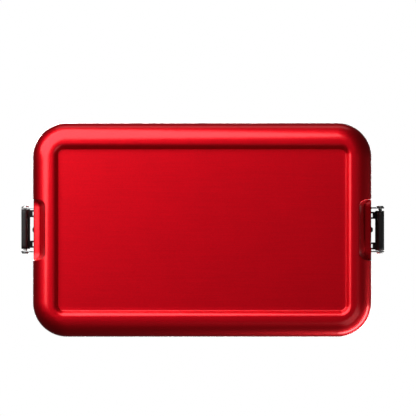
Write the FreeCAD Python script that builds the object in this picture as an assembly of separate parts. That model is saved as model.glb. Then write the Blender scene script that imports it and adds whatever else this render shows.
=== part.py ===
import FreeCAD, Part
import os
from math import atan2, acos, cos, hypot, radians, sin, tan

V = FreeCAD.Vector

# Metal lunch box standing on its foot ring: X along its length, Y across, Z up.
# The origin is the middle of the outline at the level of the foot ring. Millimetres.

# Outline and sheet shared by the base and the lid
LENGTH = 198.0
WIDTH = 125.0
CORNER_R = 20.0
SHEET = 1.0

# Pressed face: rolled edge, flat ring, sloped step, recessed panel
EDGE_ROLL = 10.4
RING_LAND = 0.8
STEP_DEPTH = 2.4
STEP_SLOPE = 50.0
STEP_CREST_R = 3.6
STEP_FOOT_R = 0.6
PANEL_CORNER_R = 3.4

# Base: straight wall, shoulder, neck, rolled rim
WALL_HEIGHT = 37.3
NECK_INSET = 2.6
NECK_HEIGHT = 3.5
SHOULDER_R = 1.2
RIM_HEIGHT = 2.8
RIM_OVERHANG = 1.8
RIM_R = 1.3
RIM_INNER_R = 0.8

# Finger scoop in each short end of the base
SCOOP_LENGTH = 36.0
SCOOP_FOOT_ROLL = 3.3
SCOOP_LEAN = 7.6
SCOOP_LEDGE_HEIGHT = 23.0
SCOOP_LEDGE_SLOPE = 20.0
SCOOP_END_SLOPE = 10.0
SCOOP_R = 2.2
SCOOP_CORNER_R = 4.4
SCOOP_RIM_R = 0.8

# Seal: a channel on the skirt's edge and a lip inside the rim
SEAL_GAP = 0.05
SEAL_WEB = 1.2
SEAL_LEG = 0.8
SEAL_LEG_HEIGHT = 1.6
SEAL_LIP_CLEAR = 0.3
SEAL_LIP_DEPTH = 3.0

# Lid
LID_HEIGHT = 19.15
LID_ROLL = 7.6
LID_LAND = 3.6

# Bracket on the lid's skirt
BRACKET_SHEET = 0.8
BRACKET_HEIGHT = 9.4
BRACKET_SEAL_CLEAR = 0.25
BRACKET_BEND_R = 1.2
EAR_R = 2.4
EAR_ROOT = 0.6

# Rivets that hold the bracket
RIVET_D = 1.8
RIVET_HEAD_D = 3.2
RIVET_HEAD_HEIGHT = 1.2
RIVET_TAIL_HEIGHT = 0.8
RIVET_SPACING = 4.6
RIVET_CLEAR = 0.04

# Hinge pin
PIN_OUT = 5.45
PIN_D = 2.2
PIN_HEAD_D = 4.2
PIN_HEAD_HEIGHT = 0.8
PIN_CLEAR = 0.04

# Clip
CLIP_LENGTH = 23.4
CLIP_PLAY = 1.5
CLIP_SHIFT = 0.5
CLIP_BORE_CLEAR = 0.06
CLIP_BARREL_R = 2.4
CLIP_PLATE = 3.4
CLIP_TAB_DROP = 29.0
CLIP_TAB_R = 1.3
CLIP_CORNER_R = 2.2
CLIP_EDGE_R = 0.45
CLIP_RIB_OUT = 1.35
CLIP_RIB_HEIGHT = 4.8
CLAW_WIDTH = 4.2
CLAW_END = 0.6
CLAW_SLOT = 2.2
CLAW_SLOT_ROOT = 0.9
CLAW_THICKNESS = 2.2
CLAW_CLEAR = 0.3
CLAW_TIP_CHAMFER = 0.5

# Places that follow from those sizes
HALF_LENGTH = LENGTH / 2
HALF_WIDTH = WIDTH / 2
RIM_INSET = NECK_INSET - RIM_OVERHANG
NECK_INNER = NECK_INSET + SHEET
RIM_FOOT_Z = WALL_HEIGHT + NECK_HEIGHT
RIM_TOP_Z = RIM_FOOT_Z + RIM_HEIGHT
SEAL_Z = RIM_TOP_Z + SEAL_GAP
SKIRT_Z = SEAL_Z + SEAL_WEB
LID_TOP_Z = SKIRT_Z + LID_HEIGHT
LID_INSET = RIM_INSET
SKIRT_X = HALF_LENGTH - LID_INSET
BRACKET_Z = SKIRT_Z + SEAL_LEG_HEIGHT + BRACKET_SEAL_CLEAR
BRACKET_TOP_Z = BRACKET_Z + BRACKET_HEIGHT
BRACKET_X = SKIRT_X + BRACKET_SHEET
PIN_X = HALF_LENGTH + PIN_OUT
PIN_Z = BRACKET_Z + BRACKET_HEIGHT / 2
EAR_GAP = CLIP_LENGTH + CLIP_PLAY
EAR_OUTER_Y = EAR_GAP / 2 + BRACKET_SHEET
CLAW_Y = CLIP_LENGTH / 2 - CLAW_END - CLAW_WIDTH / 2


def outline(inset, corner_r, z):
    """Closed wire of the rounded rectangle that lies this far inside the box's outline."""
    a, b, r = HALF_LENGTH - inset, HALF_WIDTH - inset, corner_r
    k = r * (1 - cos(radians(45)))
    sides = [
        ((a, r - b), (a, b - r), (a - k, b - k)),
        ((a - r, b), (r - a, b), (k - a, b - k)),
        ((-a, b - r), (-a, r - b), (k - a, k - b)),
        ((r - a, -b), (a - r, -b), (a - k, k - b)),
    ]
    edges = []
    for i, (start, end, bend) in enumerate(sides):
        after = sides[(i + 1) % 4][0]
        edges.append(Part.LineSegment(V(*start, z), V(*end, z)).toShape())
        edges.append(Part.Arc(V(*end, z), V(*bend, z), V(*after, z)).toShape())
    return Part.Wire(edges)


def slab(inset, z0, z1):
    """Rounded block between two heights, its corners concentric with the outline's."""
    face = Part.Face(outline(inset, CORNER_R - inset, z0))
    return face.extrude(V(0, 0, z1 - z0))


def rim_edges(shape, z, inset_min=-1.0, inset_max=1e6):
    """Edges that lie flat at one height, within a range of distance from the outline."""
    found = []
    for edge in shape.Edges:
        box = edge.BoundBox
        if max(abs(box.ZMin - z), abs(box.ZMax - z)) > 1e-4:
            continue
        middle = edge.valueAt((edge.FirstParameter + edge.LastParameter) / 2)
        inset = min(HALF_LENGTH - abs(middle.x), HALF_WIDTH - abs(middle.y))
        if inset_min <= inset <= inset_max:
            found.append(edge)
    return found


def frustum(inset0, corner0, z0, inset1, corner1, z1):
    """Block whose sides slope from one rounded rectangle to another."""
    wires = [outline(inset0, corner0, z0), outline(inset1, corner1, z1)]
    return Part.makeLoft(wires, True, True)


def prism(points, y0, y1):
    """Polygon in the XZ plane, drawn out along Y."""
    wire = Part.makePolygon([V(x, y0, z) for x, z in points + points[:1]])
    return Part.Face(wire).extrude(V(0, y1 - y0, 0))


def meet(p, d, q, e):
    """Point where two lines in a plane cross, each given by a point and a direction."""
    t = ((q[0] - p[0]) * e[1] - (q[1] - p[1]) * e[0]) / (d[0] * e[1] - d[1] * e[0])
    return (p[0] + t * d[0], p[1] + t * d[1])


def tangent_point(p, centre, r, side):
    """Point where a line from p touches a circle, on the given side of it."""
    dx, dz = p[0] - centre[0], p[1] - centre[1]
    angle = atan2(dz, dx) + side * acos(r / hypot(dx, dz))
    return (centre[0] + r * cos(angle), centre[1] + r * sin(angle))


def pressed_face(ring_inset):
    """Insets of the step in a pressed face, from the flat ring's inner edge to the panel."""
    slope = radians(STEP_SLOPE)
    crest = ring_inset + STEP_CREST_R * tan(slope / 2)
    foot = crest + STEP_DEPTH / tan(slope)
    return crest, foot


def pressed_tray(outer_inset, height, roll, land):
    """Outer block and inner hollow of a drawn tray, mouth up, standing on its flat ring."""
    slope = radians(STEP_SLOPE)
    crest, foot = pressed_face(outer_inset + roll + land)
    crest_corner = PANEL_CORNER_R + (foot - crest)

    outer = slab(outer_inset, 0, height)
    outer = outer.makeFillet(roll, rim_edges(outer, 0))
    recess = frustum(crest, crest_corner, 0, foot, PANEL_CORNER_R, STEP_DEPTH)
    recess = recess.makeFillet(STEP_FOOT_R, rim_edges(recess, STEP_DEPTH))
    outer = outer.cut(recess)
    outer = outer.makeFillet(
        STEP_CREST_R, rim_edges(outer, 0, outer_inset + roll + 0.5 * land)
    )

    shift = SHEET * tan(slope / 2)
    floor = STEP_DEPTH + SHEET
    hollow = slab(outer_inset + SHEET, SHEET, height)
    hollow = hollow.makeFillet(roll - SHEET, rim_edges(hollow, SHEET))
    bulge = frustum(
        crest - shift, crest_corner + shift, SHEET,
        foot - shift, PANEL_CORNER_R + shift, floor,
    )
    bulge = bulge.makeFillet(STEP_FOOT_R + SHEET, rim_edges(bulge, floor))
    hollow = hollow.cut(bulge)
    hollow = hollow.makeFillet(
        STEP_CREST_R - SHEET, rim_edges(hollow, SHEET, outer_inset + roll + 0.5 * land)
    )
    return outer, hollow


def scoop(grow):
    """Space of the finger scoop at the +X end, made larger all round by grow."""
    lean, ledge = radians(SCOOP_LEAN), radians(SCOOP_LEDGE_SLOPE)
    end = radians(SCOOP_END_SLOPE)
    foot_x = HALF_LENGTH - EDGE_ROLL + SCOOP_FOOT_ROLL
    wall_dir, ledge_dir = (sin(lean), cos(lean)), (cos(ledge), sin(ledge))
    ledge_x = foot_x + SCOOP_LEDGE_HEIGHT * tan(lean)
    wall = (foot_x - grow * cos(lean), grow * sin(lean))
    shelf = (ledge_x - grow * sin(ledge), SCOOP_LEDGE_HEIGHT + grow * cos(ledge))
    inner = meet(wall, wall_dir, shelf, ledge_dir)
    out_x, below = HALF_LENGTH + EDGE_ROLL, -EDGE_ROLL
    outer = meet((out_x, 0), (0, 1), shelf, ledge_dir)
    start = meet((0, below), (1, 0), wall, wall_dir)
    section = prism([start, inner, outer, (out_x, below)], -WIDTH, WIDTH)

    def half_length(x):
        return SCOOP_LENGTH / 2 - (HALF_LENGTH - x) * tan(end) + grow / cos(end)

    deep_x = foot_x - EDGE_ROLL
    plan = [(deep_x, half_length(deep_x)), (out_x, half_length(out_x))]
    corners = plan + [(x, -y) for x, y in reversed(plan)]
    wire = Part.makePolygon([V(x, y, below) for x, y in corners + corners[:1]])
    ends = Part.Face(wire).extrude(V(0, 0, WIDTH))
    block = section.common(ends)

    upright = [e for e in block.Edges if e.BoundBox.XMax < out_x - 1e-3
               and e.BoundBox.ZMin < below + 1e-3 and e.BoundBox.ZLength > 1e-3]
    block = block.makeFillet(SCOOP_CORNER_R + grow, upright)
    deep = []
    for edge in block.Edges:
        box = edge.BoundBox
        if box.ZMin > 0 and box.XMin < out_x - 1e-3:
            deep.append(edge)
    return block.makeFillet(SCOOP_R + grow, deep)


def scoop_rim(shape):
    """Edges where the scoops break through the end walls and the rolled edge."""
    def is_outside(face):
        surface = face.Surface
        if isinstance(surface, Part.Plane):
            return abs(abs(surface.Axis.x) - 1) < 1e-6 and abs(
                abs(surface.Position.x) - HALF_LENGTH) < 1e-4
        if isinstance(surface, Part.Cylinder):
            return abs(surface.Radius - EDGE_ROLL) < 1e-4 and abs(surface.Axis.y) > 0.999
        return False

    reach = SCOOP_LENGTH / 2 + SCOOP_R
    found = []
    for edge in shape.Edges:
        middle = edge.valueAt((edge.FirstParameter + edge.LastParameter) / 2)
        if abs(middle.y) > reach or middle.z > SCOOP_LEDGE_HEIGHT + 2 * SCOOP_R + EDGE_ROLL:
            continue
        faces = shape.ancestorsOfType(edge, Part.Face)
        sides = [is_outside(face) for face in faces]
        if len(sides) == 2 and sides[0] != sides[1] and middle.z > 1e-3:
            if abs(middle.x) > HALF_LENGTH - EDGE_ROLL + 1e-3:
                found.append(edge)
    return found


def turned(shape):
    """The same piece at the other end of the box."""
    copy = shape.copy()
    copy.rotate(V(0, 0, 0), V(0, 0, 1), 180)
    return copy


def base_pan():
    outer, hollow = pressed_tray(0, WALL_HEIGHT, EDGE_ROLL, RING_LAND)
    outer = outer.makeFillet(SHOULDER_R, rim_edges(outer, WALL_HEIGHT))
    for tool in (scoop(0), turned(scoop(0))):
        outer = outer.cut(tool)
    outer = outer.makeFillet(SCOOP_RIM_R, scoop_rim(outer))

    neck = slab(NECK_INSET, WALL_HEIGHT - SHEET, RIM_TOP_Z)
    outer = outer.fuse(neck).removeSplitter()
    outer = outer.makeFillet(
        SHOULDER_R, rim_edges(outer, WALL_HEIGHT, NECK_INSET - 0.1, NECK_INSET + 0.1)
    )
    rim = slab(RIM_INSET, RIM_FOOT_Z, RIM_TOP_Z)
    rim = rim.makeFillet(RIM_R, rim_edges(rim, RIM_FOOT_Z) + rim_edges(rim, RIM_TOP_Z))
    outer = outer.fuse(rim)

    roof = WALL_HEIGHT - SHEET
    hollow = hollow.common(slab(0, 0, roof))
    for tool in (scoop(SHEET), turned(scoop(SHEET))):
        hollow = hollow.cut(tool)
    mouth = slab(NECK_INNER, roof - SHEET, RIM_TOP_Z + SHEET)
    pan = outer.cut(hollow.fuse(mouth)).removeSplitter()
    inner_edge = rim_edges(pan, RIM_TOP_Z, NECK_INNER - 0.1, NECK_INNER + 0.1)
    return pan.makeFillet(RIM_INNER_R, inner_edge)


def lid_shell():
    outer, hollow = pressed_tray(LID_INSET, LID_HEIGHT, LID_ROLL, LID_LAND)
    tray = outer.cut(hollow)
    tray.rotate(V(0, 0, 0), V(1, 0, 0), 180)
    tray.translate(V(0, 0, LID_TOP_Z))
    for hole in rivet_bores():
        tray = tray.cut(hole).cut(turned(hole))
    return tray


def ring(inset0, inset1, z0, z1):
    """Band of the outline between two insets and two heights."""
    return slab(inset0, z0, z1).cut(slab(inset1, z0 - 1, z1 + 1))


def lid_seal():
    skirt_inner = LID_INSET + SHEET
    lip = NECK_INNER + SEAL_LIP_CLEAR
    web = ring(LID_INSET - SEAL_LEG, lip + SEAL_LEG, SEAL_Z, SKIRT_Z)
    legs = [
        ring(LID_INSET - SEAL_LEG, LID_INSET, SEAL_Z, SKIRT_Z + SEAL_LEG_HEIGHT),
        ring(skirt_inner, skirt_inner + SEAL_LEG, SEAL_Z, SKIRT_Z + SEAL_LEG_HEIGHT),
        ring(lip, lip + SEAL_LEG, SEAL_Z - SEAL_LIP_DEPTH, SKIRT_Z),
    ]
    return web.multiFuse(legs).removeSplitter()


def rivet_places():
    return [PIN_Z - RIVET_SPACING / 2, PIN_Z + RIVET_SPACING / 2]


def rivet_bores():
    """Holes for the rivets through the bracket and the skirt at the +X end."""
    reach = SHEET + BRACKET_SHEET + 2
    return [
        Part.makeCylinder(RIVET_D / 2 + RIVET_CLEAR, reach,
                          V(SKIRT_X - SHEET - 1, 0, z), V(1, 0, 0))
        for z in rivet_places()
    ]


def rivets():
    inside_x = SKIRT_X - SHEET
    made = []
    for z in rivet_places():
        shank = Part.makeCylinder(
            RIVET_D / 2, BRACKET_X - inside_x, V(inside_x, 0, z), V(1, 0, 0))
        head = Part.makeCylinder(
            RIVET_HEAD_D / 2, RIVET_HEAD_HEIGHT, V(BRACKET_X, 0, z), V(1, 0, 0))
        crown = [e for e in head.Edges if e.BoundBox.XMin > BRACKET_X + RIVET_HEAD_HEIGHT - 1e-3]
        head = head.makeFillet(0.9 * RIVET_HEAD_HEIGHT, crown)
        tail = Part.makeCylinder(
            RIVET_HEAD_D / 2, RIVET_TAIL_HEIGHT,
            V(inside_x - RIVET_TAIL_HEIGHT, 0, z), V(1, 0, 0))
        flat = [e for e in tail.Edges if e.BoundBox.XMax < inside_x - RIVET_TAIL_HEIGHT + 1e-3]
        tail = tail.makeFillet(0.6 * RIVET_TAIL_HEIGHT, flat)
        made.append(shank.multiFuse([head, tail]).removeSplitter())
    return Part.makeCompound(made)


def bracket():
    """Back plate and two ears, bent from one strip, at the +X end."""
    end_x = PIN_X + EAR_R
    block = Part.makeBox(end_x - SKIRT_X, 2 * EAR_OUTER_Y, BRACKET_HEIGHT,
                         V(SKIRT_X, -EAR_OUTER_Y, BRACKET_Z))
    gap = Part.makeBox(end_x, EAR_GAP, 3 * BRACKET_HEIGHT,
                       V(BRACKET_X, -EAR_GAP / 2, BRACKET_Z - BRACKET_HEIGHT))
    bends = [e for e in block.Edges
             if e.BoundBox.XMax < SKIRT_X + 1e-3 and e.BoundBox.ZLength > 1]
    block = block.makeFillet(BRACKET_BEND_R, bends)
    corners = [e for e in gap.Edges
               if e.BoundBox.XMax < BRACKET_X + 1e-3 and e.BoundBox.ZLength > 1]
    gap = gap.makeFillet(BRACKET_BEND_R - 0.5 * BRACKET_SHEET, corners)
    strip = block.cut(gap)

    root_x = BRACKET_X + EAR_ROOT
    centre = (PIN_X, PIN_Z)
    low, high = (root_x, BRACKET_Z), (root_x, BRACKET_TOP_Z)
    side = [(SKIRT_X, BRACKET_Z), low, tangent_point(low, centre, EAR_R, 1),
            tangent_point(high, centre, EAR_R, -1), high, (SKIRT_X, BRACKET_TOP_Z)]
    profile = prism(side, -2 * EAR_GAP, 2 * EAR_GAP).fuse(
        Part.makeCylinder(EAR_R, 4 * EAR_GAP, V(PIN_X, -2 * EAR_GAP, PIN_Z), V(0, 1, 0)))
    strip = strip.common(profile)
    eye = Part.makeCylinder(PIN_D / 2 + PIN_CLEAR, 4 * EAR_GAP,
                            V(PIN_X, -2 * EAR_GAP, PIN_Z), V(0, 1, 0))
    return strip.cut([eye] + rivet_bores())


def pin():
    """Hinge pin with a domed head outside each ear."""
    shank = Part.makeCylinder(PIN_D / 2, 2 * EAR_OUTER_Y,
                              V(PIN_X, -EAR_OUTER_Y, PIN_Z), V(0, 1, 0))
    heads = []
    for way in (-1, 1):
        head = Part.makeCylinder(PIN_HEAD_D / 2, PIN_HEAD_HEIGHT,
                                 V(PIN_X, way * EAR_OUTER_Y, PIN_Z), V(0, way, 0))
        far = EAR_OUTER_Y + PIN_HEAD_HEIGHT - 1e-3
        crown = [e for e in head.Edges
                 if min(abs(e.BoundBox.YMin), abs(e.BoundBox.YMax)) > far]
        heads.append(head.makeFillet(0.85 * PIN_HEAD_HEIGHT, crown))
    return shank.multiFuse(heads).removeSplitter()


def claw_top():
    return RIM_FOOT_Z - CLAW_CLEAR


def clip():
    """Moulded clip at the +X end: bored barrel, finger tab, cross rib, two forked claws."""
    y0, y1 = CLIP_SHIFT - CLIP_LENGTH / 2, CLIP_SHIFT + CLIP_LENGTH / 2
    half = CLIP_PLATE / 2
    inner_x, outer_x = PIN_X - half, PIN_X + half
    tab_z = PIN_Z - CLIP_TAB_DROP

    plate = prism([(inner_x, tab_z), (outer_x, tab_z), (outer_x, PIN_Z), (inner_x, PIN_Z)], y0, y1)
    tips = [e for e in plate.Edges
            if e.BoundBox.ZMax < tab_z + 1e-3 and e.BoundBox.YLength > 1]
    plate = plate.makeFillet(min(CLIP_TAB_R, 0.45 * CLIP_PLATE), tips)
    barrel = Part.makeCylinder(CLIP_BARREL_R, CLIP_LENGTH, V(PIN_X, y0, PIN_Z), V(0, 1, 0))

    rib_x = inner_x - CLIP_RIB_OUT
    rib_z = claw_top() - CLAW_THICKNESS
    rib = prism([(rib_x, rib_z), (PIN_X, rib_z), (PIN_X, rib_z + CLIP_RIB_HEIGHT + CLIP_RIB_OUT),
                 (inner_x, rib_z + CLIP_RIB_HEIGHT + CLIP_RIB_OUT),
                 (rib_x, rib_z + CLIP_RIB_HEIGHT)], y0, y1)
    body = plate.multiFuse([barrel, rib]).removeSplitter()
    ends = [e for e in body.Edges if e.BoundBox.YLength < 1e-4]
    body = body.makeFillet(CLIP_EDGE_R, ends)
    corners = Part.makeBox(4 * CLIP_PLATE, CLIP_LENGTH, CLIP_TAB_DROP + 2 * CLIP_BARREL_R,
                           V(PIN_X - 2 * CLIP_PLATE, y0, tab_z))
    low = [e for e in corners.Edges
           if e.BoundBox.ZMax < tab_z + 1e-3 and e.BoundBox.XLength > 1]
    body = body.common(corners.makeFillet(CLIP_CORNER_R, low))

    tip_x = HALF_LENGTH - NECK_INSET + CLAW_CLEAR
    arm_x = HALF_LENGTH + CLAW_CLEAR
    side = [(tip_x + CLAW_TIP_CHAMFER, rib_z), (rib_x + half, rib_z),
            (rib_x + half, rib_z + CLIP_RIB_HEIGHT - CLAW_CLEAR),
            (rib_x, rib_z + CLIP_RIB_HEIGHT - CLAW_CLEAR),
            (arm_x, claw_top()), (tip_x, claw_top()), (tip_x, rib_z + CLAW_TIP_CHAMFER)]
    pieces = []
    for way in (-1, 1):
        middle = CLIP_SHIFT + way * CLAW_Y
        claw = prism(side, middle - CLAW_WIDTH / 2, middle + CLAW_WIDTH / 2)
        slot_end = HALF_LENGTH + CLAW_SLOT_ROOT
        slot = Part.makeBox(slot_end - tip_x + 1, CLAW_SLOT, 4 * CLIP_RIB_HEIGHT,
                            V(tip_x - 1, middle - CLAW_SLOT / 2, rib_z - CLIP_RIB_HEIGHT))
        pieces.append(claw.cut(slot))
    body = body.multiFuse(pieces).removeSplitter()
    bore = Part.makeCylinder(PIN_D / 2 + CLIP_BORE_CLEAR, 2 * CLIP_LENGTH,
                             V(PIN_X, -CLIP_LENGTH, PIN_Z), V(0, 1, 0))
    return body.cut(bore)


def main():
    os.makedirs("parts", exist_ok=True)
    nodes = {"base_pan": base_pan(), "lid_shell": lid_shell(), "lid_seal": lid_seal()}
    for name, make in (("bracket", bracket), ("rivets", rivets), ("pin", pin), ("clip", clip)):
        piece = make()
        nodes["right_" + name] = piece
        nodes["left_" + name] = turned(piece)
    for name, shape in nodes.items():
        box = shape.BoundBox
        print(f"{name}: solids {len(shape.Solids)} valid {shape.isValid()} "
              f"volume {shape.Volume:.1f} z {box.ZMin:.2f}..{box.ZMax:.2f}")
        shape.exportStep(f"parts/{name}.step")


main()
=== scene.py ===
# %% [markdown]
# A flat metal lunch box, seen from below
#
# The box is a pressed pan with a lift-off lid, a soft seal between them and a
# swinging clip at each short end. This lesson dresses the packed model: it
# loads the bodies that move, then builds each visible piece where the packed
# model has it. Everything is in metres, X along the box, Z up from base to lid.

# %% Load the packed model
from math import cos, pi, radians, sin, sqrt, tan

import bmesh
import bpy
from mathutils import Matrix, Vector


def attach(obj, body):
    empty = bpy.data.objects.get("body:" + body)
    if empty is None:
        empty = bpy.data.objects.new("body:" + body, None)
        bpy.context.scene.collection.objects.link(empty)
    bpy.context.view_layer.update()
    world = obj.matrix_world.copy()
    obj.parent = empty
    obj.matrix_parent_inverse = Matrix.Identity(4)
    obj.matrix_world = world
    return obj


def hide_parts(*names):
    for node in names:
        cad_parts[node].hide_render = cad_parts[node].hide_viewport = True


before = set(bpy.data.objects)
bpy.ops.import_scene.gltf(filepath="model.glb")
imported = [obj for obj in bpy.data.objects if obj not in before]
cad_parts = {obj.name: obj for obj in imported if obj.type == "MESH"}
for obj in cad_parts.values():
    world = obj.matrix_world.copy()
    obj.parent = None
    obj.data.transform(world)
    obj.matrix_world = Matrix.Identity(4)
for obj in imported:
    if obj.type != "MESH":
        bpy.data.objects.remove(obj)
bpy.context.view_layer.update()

MM = 0.001
WELD = 2e-6  # points nearer to each other than this, in metres, become one

# %% [markdown]
# Sums with sockets
#
# Both geometry trees and materials are full of small sums. Written node by node
# they are hard to read, so one class holds a socket and answers to + - * / and
# a few named operations, each of which adds a Math node. A second class holds a
# tree and has one method that adds any other node.

# %% A socket that can be added, scaled and compared
class Wire:
    """One output socket of a node, usable in a Python expression."""

    def __init__(self, bench, socket):
        self.bench, self.socket = bench, socket

    def _sum(self, operation, *values):
        sockets = dict(enumerate(values))
        return self.bench.add("ShaderNodeMath", {"operation": operation}, sockets)

    def __add__(self, other): return self._sum("ADD", self, other)
    def __radd__(self, other): return self._sum("ADD", other, self)
    def __sub__(self, other): return self._sum("SUBTRACT", self, other)
    def __rsub__(self, other): return self._sum("SUBTRACT", other, self)
    def __mul__(self, other): return self._sum("MULTIPLY", self, other)
    def __rmul__(self, other): return self._sum("MULTIPLY", other, self)
    def __truediv__(self, other): return self._sum("DIVIDE", self, other)
    def __pow__(self, other): return self._sum("POWER", self, other)
    def __gt__(self, other): return self._sum("GREATER_THAN", self, other)
    def __abs__(self): return self._sum("ABSOLUTE", self)
    def sign(self): return self._sum("SIGN", self)
    def least(self, other): return self._sum("MINIMUM", self, other)

    def most(self, other, soft=0.0):
        return self._sum("SMOOTH_MAX", self, other, soft)

    def ramp(self, low, high, start=0.0, end=1.0):
        """Smooth rise from start to end as the value goes from low to high."""
        return self.bench.add(
            "ShaderNodeMapRange", {"interpolation_type": "SMOOTHSTEP"},
            {"Value": self, "From Min": low, "From Max": high,
             "To Min": start, "To Max": end})


class Bench:
    """A node tree with one way to add a node: its type, settings, then sockets."""

    def __init__(self, tree):
        self.tree = tree

    def add(self, kind, settings=None, sockets=None, out=0):
        node = self.tree.nodes.new(kind)
        for name, value in (settings or {}).items():
            if name == "line":
                self._bend(node.mapping, value)
            else:
                setattr(node, name, value)
        for name, value in (sockets or {}).items():
            if isinstance(value, Wire):
                self.tree.links.new(value.socket, node.inputs[name])
            else:
                node.inputs[name].default_value = value
        return Wire(self, node.outputs[out])

    @staticmethod
    def _bend(mapping, places):
        """Make a curve node follow straight runs between the given places."""
        line = mapping.curves[0].points
        while len(line) < len(places):
            line.new(0.5, 0.5)
        for point, place in zip(line, places):
            point.location, point.handle_type = place, "VECTOR"
        mapping.update()

    def vector(self, operation, *values, out=0):
        return self.add("ShaderNodeVectorMath", {"operation": operation},
                        dict(enumerate(values)), out)

    def scaled(self, vector, factor):
        return self.add("ShaderNodeVectorMath", {"operation": "SCALE"},
                        {"Vector": vector, "Scale": factor})

    def packed(self, x, y, z=0.0):
        return self.add("ShaderNodeCombineXYZ", {}, {"X": x, "Y": y, "Z": z})

    def parts(self, vector):
        node = self.tree.nodes.new("ShaderNodeSeparateXYZ")
        self.tree.links.new(vector.socket, node.inputs[0])
        return [Wire(self, node.outputs[i]) for i in range(3)]

print("sums ready:", [name for name in vars(Wire) if not name.startswith("__")])

# %% [markdown]
# How a pressed shell is drawn
#
# Base, lid and seal are all one cross-section carried round a rounded
# rectangle. A sweep alone can't do it, because the panel's corners are tighter
# than the outline's and the finger scoops dent the short ends. So the section
# is drawn once as a polyline, and each of its points carries its own numbers:
# how far it lies inside the outline, how high, how much tighter its corner is,
# and how deep the scoop is at its height. The tree below only has to put the
# points where those numbers say.

# %% A section drawn from its corners
COARSE_STEP, FINE_STEP, WIDEST_STEP = 6.0, 3.0, 15.0
SHORT_RUN = 11.0


def rounded(corners, step=COARSE_STEP):
    """Polyline through corners (u, v, radius), with a true arc at each rounded one.

    An arc is cut every step degrees. A small one gets longer runs: SHORT_RUN is the
    least radius times degrees of a run, as long as WIDEST_STEP isn't passed.
    """
    points = []
    for i, (u, v, r) in enumerate(corners):
        here = Vector((u, v))
        if r == 0 or i in (0, len(corners) - 1):
            points.append(here)
            continue
        before = (Vector(corners[i - 1][:2]) - here).normalized()
        after = (Vector(corners[i + 1][:2]) - here).normalized()
        half = before.angle(after) / 2
        centre = here + (before + after).normalized() * (r / sin(half))
        first = here + before * (r / tan(half)) - centre
        turn = first.angle_signed(here + after * (r / tan(half)) - centre)
        degrees = min(WIDEST_STEP, max(step, SHORT_RUN / r))
        count = max(2, round(abs(turn) * 180 / pi / degrees))
        for n in range(count + 1):
            points.append(centre + Matrix.Rotation(-turn * n / count, 2) @ first)
    return points

arc = rounded([(0, 0, 0), (10, 0, 4), (10, 10, 0)])
print("a right corner of radius 4 has", len(arc), "points")

# %% [markdown]
# The sweep
#
# The tree makes the outline from a rectangle with rounded corners and cuts its
# straight sides. A curve node crowds the cuts of the short sides to where the
# ends of a scoop will be. Every point of the outline knows the corner centre it
# belongs to and the way out from it. After the sweep has made the grid, one Set
# Position puts each point at centre + way out * radius, which gives exact arcs
# at any inset. The scoop's plan is a slot with round corners, and a soft
# maximum lets it into the wall with a rounded rim, as pressing does.

# %% Geometry tree of a pressed shell
SCOOP_CROWD = ((0.0, 0.0), (0.1, 0.27), (0.82, 0.46), (1.0, 1.0))
OFF_END = 1000.0  # metres taken from the dent wherever the way out isn't along X


def new_tree(name, sockets):
    """A geometry tree with named inputs, its bench and a wire for each input."""
    tree = bpy.data.node_groups.new(name, "GeometryNodeTree")
    for socket, kind in sockets.items():
        tree.interface.new_socket(
            socket, in_out="INPUT", socket_type="NodeSocket" + kind)
    tree.interface.new_socket(
        "Made", in_out="OUTPUT", socket_type="NodeSocketGeometry")
    bench = Bench(tree)
    given = tree.nodes.new("NodeGroupInput")
    return tree, bench, {s.name: Wire(bench, s) for s in given.outputs if s.name}


def stored(b, name, kind="FLOAT"):
    """What the points carry under a name."""
    return b.add("GeometryNodeInputNamedAttribute", {"data_type": kind},
                 {"Name": name})


def store(b, geometry, name, value):
    """Let each point carry a vector under a name."""
    return b.add("GeometryNodeStoreNamedAttribute",
                 {"data_type": "FLOAT_VECTOR", "domain": "POINT"},
                 {"Geometry": geometry, "Name": name, "Value": value})


def closed_off(b, made, *finishes):
    """The common end of both trees: smooth, realized, with its materials set."""
    made = b.add("GeometryNodeSetShadeSmooth", {},
                 {"Geometry": made, "Shade Smooth": True})
    made = b.add("GeometryNodeRealizeInstances", {}, {"Geometry": made})
    for where, material in finishes:
        made = b.add("GeometryNodeSetMaterial", {}, {
            "Geometry": made, "Selection": where, "Material": material})
    out = b.tree.nodes.new("NodeGroupOutput")
    b.tree.links.new(made.socket, out.inputs[0])


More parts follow.
